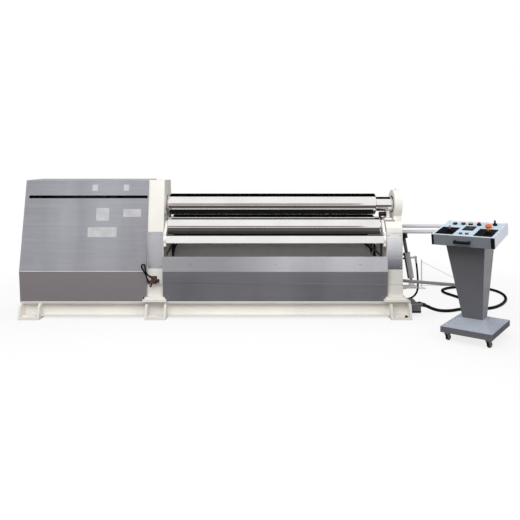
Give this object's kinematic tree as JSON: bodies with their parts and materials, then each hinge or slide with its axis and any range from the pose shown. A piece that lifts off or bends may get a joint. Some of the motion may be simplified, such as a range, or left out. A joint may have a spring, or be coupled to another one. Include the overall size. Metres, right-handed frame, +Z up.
{
  "type": "plate rolling machine",
  "caption": "Hydraulic plate bending roll with a long top roll, leaning lower rolls, a hinged drop end, a sheet-metal cabinet and a wheeled control console on a cable.",
  "frame": {"origin": "on the floor, in the middle of the four outer anchor holes, under the top roll's axis", "axes": "+X along the rolls towards the drop end, +Y to the back of the machine, +Z up"},
  "size_m": [4.9948, 2.3202, 1.313],
  "materials": {
    "frame_white": "satin enamel",
    "cover_grey": "satin enamel",
    "roll_steel": "ground and polished",
    "bearing_bronze": "machined",
    "machined_steel": "machined",
    "rod_chrome": "hard chrome",
    "drive_paint": "satin enamel",
    "cylinder_paint": "satin enamel",
    "hose_rubber": "smooth black",
    "switch_red": "moulded",
    "wire_steel": "bright",
    "rail_paint": "satin enamel",
    "connector_plastic": "moulded",
    "console_grey": "fine textured enamel",
    "console_light": "satin enamel",
    "control_black": "moulded",
    "emergency_red": "moulded",
    "start_green": "moulded",
    "stop_red": "moulded",
    "blank_plate": "bare plate",
    "caster_rubber": "moulded tread",
    "caster_zinc": "zinc plated"
  },
  "bodies": {
    "frame": {"base_frame": "frame_white", "base_feet": "frame_white", "levelling_screws": "machined_steel", "left_upright": "frame_white", "right_upright": "frame_white", "upright_covers": "cover_grey", "cabinet_front_panel": "cover_grey", "cabinet_top_cover": "cover_grey", "cabinet_end_panel": "cover_grey", "cabinet_rear_panel": "cover_grey", "front_cover": "cover_grey", "rear_cover": "cover_grey", "panel_hardware": "blank_plate", "top_roll_bearing": "bearing_bronze", "top_roll_drive": "drive_paint", "lift_cylinders": "cylinder_paint", "yoke_pivot_pin": "machined_steel", "drop_cylinder_barrel": "cylinder_paint", "drop_cylinder_bracket": "frame_white", "cylinder_hose": "hose_rubber", "oil_tank": "drive_paint", "pump_motor": "drive_paint", "trip_switch": "switch_red", "trip_switch_lead": "hose_rubber", "trip_wire": "wire_steel", "trip_wire_supports": "rail_paint", "guard_rails": "rail_paint", "base_connector": "connector_plastic", "console_cable": "hose_rubber", "console_base": "console_grey", "console_column": "console_grey", "console_box": "console_grey", "console_panel": "console_light", "console_fittings": "control_black"},
    "top_roll": {"top_roll": "roll_steel"},
    "front_carriage": {"front_bearing_blocks": "machined_steel", "front_torsion_beam": "frame_white", "front_lift_rods": "rod_chrome"},
    "front_roll": {"front_roll": "roll_steel"},
    "rear_carriage": {"rear_bearing_blocks": "machined_steel", "rear_torsion_beam": "frame_white", "rear_lift_rods": "rod_chrome"},
    "rear_roll": {"rear_roll": "roll_steel"},
    "yoke": {"drop_end_yoke": "frame_white", "yoke_bush": "bearing_bronze"},
    "drop_rod": {"drop_cylinder_rod": "rod_chrome"},
    "joystick_left": {"joystick_left": "control_black"},
    "joystick_right": {"joystick_right": "control_black"},
    "emergency_stop": {"emergency_stop": "emergency_red"},
    "start_button": {"start_button": "start_green"},
    "stop_button": {"stop_button": "stop_red"},
    "mode_selector": {"mode_selector": "control_black"},
    "caster_fork_front_left": {"caster_fork_front_left": "caster_zinc"},
    "caster_wheel_front_left": {"caster_wheel_front_left": "caster_rubber"},
    "caster_fork_front_right": {"caster_fork_front_right": "caster_zinc"},
    "caster_wheel_front_right": {"caster_wheel_front_right": "caster_rubber"},
    "caster_fork_rear_left": {"caster_fork_rear_left": "caster_zinc"},
    "caster_wheel_rear_left": {"caster_wheel_rear_left": "caster_rubber"},
    "caster_fork_rear_right": {"caster_fork_rear_right": "caster_zinc"},
    "caster_wheel_rear_right": {"caster_wheel_rear_right": "caster_rubber"}
  },
  "joints": [
    {"name": "top_roll_spin", "type": "hinge", "parent": "frame", "child": "top_roll", "pos_m": [0, 0, 1.063], "axis": [1, 0, 0], "continuous": true},
    {"name": "front_roll_lift", "type": "slide", "parent": "frame", "child": "front_carriage", "axis": [0, 0.1392, 0.9903], "range_m": [-0.025, 0.055]},
    {"name": "front_roll_spin", "type": "hinge", "parent": "front_carriage", "child": "front_roll", "pos_m": [0, -0.14, 0.855], "axis": [1, 0, 0], "continuous": true},
    {"name": "rear_roll_lift", "type": "slide", "parent": "frame", "child": "rear_carriage", "axis": [0, -0.1392, 0.9903], "range_m": [-0.025, 0.055]},
    {"name": "rear_roll_spin", "type": "hinge", "parent": "rear_carriage", "child": "rear_roll", "pos_m": [0, 0.14, 0.855], "axis": [1, 0, 0], "continuous": true},
    {"name": "yoke_open", "type": "hinge", "parent": "frame", "child": "yoke", "pos_m": [1.77, 0, 0.68], "axis": [0, 1, 0], "range_deg": [0, 75]},
    {"name": "drop_rod_slide", "type": "slide", "parent": "frame", "child": "drop_rod", "axis": [-0.1693, 0, 0.9856], "range_m": [-0.1098, 0]},
    {"name": "joystick_left_tilt", "type": "hinge", "parent": "frame", "child": "joystick_left", "pos_m": [1.969, -0.92476, 0.88023], "axis": [0.7848, -0.6198, 0], "range_deg": [-18, 18], "stiffness_Nm_per_rad": 0.6},
    {"name": "joystick_right_tilt", "type": "hinge", "parent": "frame", "child": "joystick_right", "pos_m": [2.20265, -1.10662, 0.88064], "axis": [0.7848, -0.6198, 0], "range_deg": [-18, 18], "stiffness_Nm_per_rad": 0.6},
    {"name": "emergency_stop_press", "type": "slide", "parent": "frame", "child": "emergency_stop", "axis": [0.1183, 0.1497, -0.9816], "range_m": [0, 0.005], "stiffness_N_per_m": 600},
    {"name": "start_button_press", "type": "slide", "parent": "frame", "child": "start_button", "axis": [0.1183, 0.1497, -0.9816], "range_m": [0, 0.003], "stiffness_N_per_m": 500},
    {"name": "stop_button_press", "type": "slide", "parent": "frame", "child": "stop_button", "axis": [0.1183, 0.1497, -0.9816], "range_m": [0, 0.003], "stiffness_N_per_m": 500},
    {"name": "mode_selector_turn", "type": "hinge", "parent": "frame", "child": "mode_selector", "pos_m": [2.35322, -0.88558, 0.9325], "axis": [-0.1183, -0.1497, 0.9816], "range_deg": [-45, 45]},
    {"name": "caster_front_left_swivel", "type": "hinge", "parent": "frame", "child": "caster_fork_front_left", "pos_m": [1.94303, -0.92369, 0.064], "axis": [0, 0, 1], "continuous": true},
    {"name": "caster_front_left_roll", "type": "hinge", "parent": "caster_fork_front_left", "child": "caster_wheel_front_left", "pos_m": [1.95732, -0.9165, 0.025], "axis": [0.4493, -0.8934, 0], "continuous": true},
    {"name": "caster_front_right_swivel", "type": "hinge", "parent": "frame", "child": "caster_fork_front_right", "pos_m": [2.19416, -1.12202, 0.064], "axis": [0, 0, 1], "continuous": true},
    {"name": "caster_front_right_roll", "type": "hinge", "parent": "caster_fork_front_right", "child": "caster_wheel_front_right", "pos_m": [2.20845, -1.11483, 0.025], "axis": [0.4493, -0.8934, 0], "continuous": true},
    {"name": "caster_rear_left_swivel", "type": "hinge", "parent": "frame", "child": "caster_fork_rear_left", "pos_m": [2.26323, -0.58277, 0.064], "axis": [0, 0, 1], "continuous": true},
    {"name": "caster_rear_left_roll", "type": "hinge", "parent": "caster_fork_rear_left", "child": "caster_wheel_rear_left", "pos_m": [2.27753, -0.57559, 0.025], "axis": [0.4493, -0.8934, 0], "continuous": true},
    {"name": "caster_rear_right_swivel", "type": "hinge", "parent": "frame", "child": "caster_fork_rear_right", "pos_m": [2.45158, -0.73152, 0.064], "axis": [0, 0, 1], "continuous": true},
    {"name": "caster_rear_right_roll", "type": "hinge", "parent": "caster_fork_rear_right", "child": "caster_wheel_rear_right", "pos_m": [2.46588, -0.72433, 0.025], "axis": [0.4493, -0.8934, 0], "continuous": true}
  ],
  "couplings": [
    {"joint": "drop_rod_slide", "follows": "yoke_open", "m_per_rad": -0.0837}
  ]
}
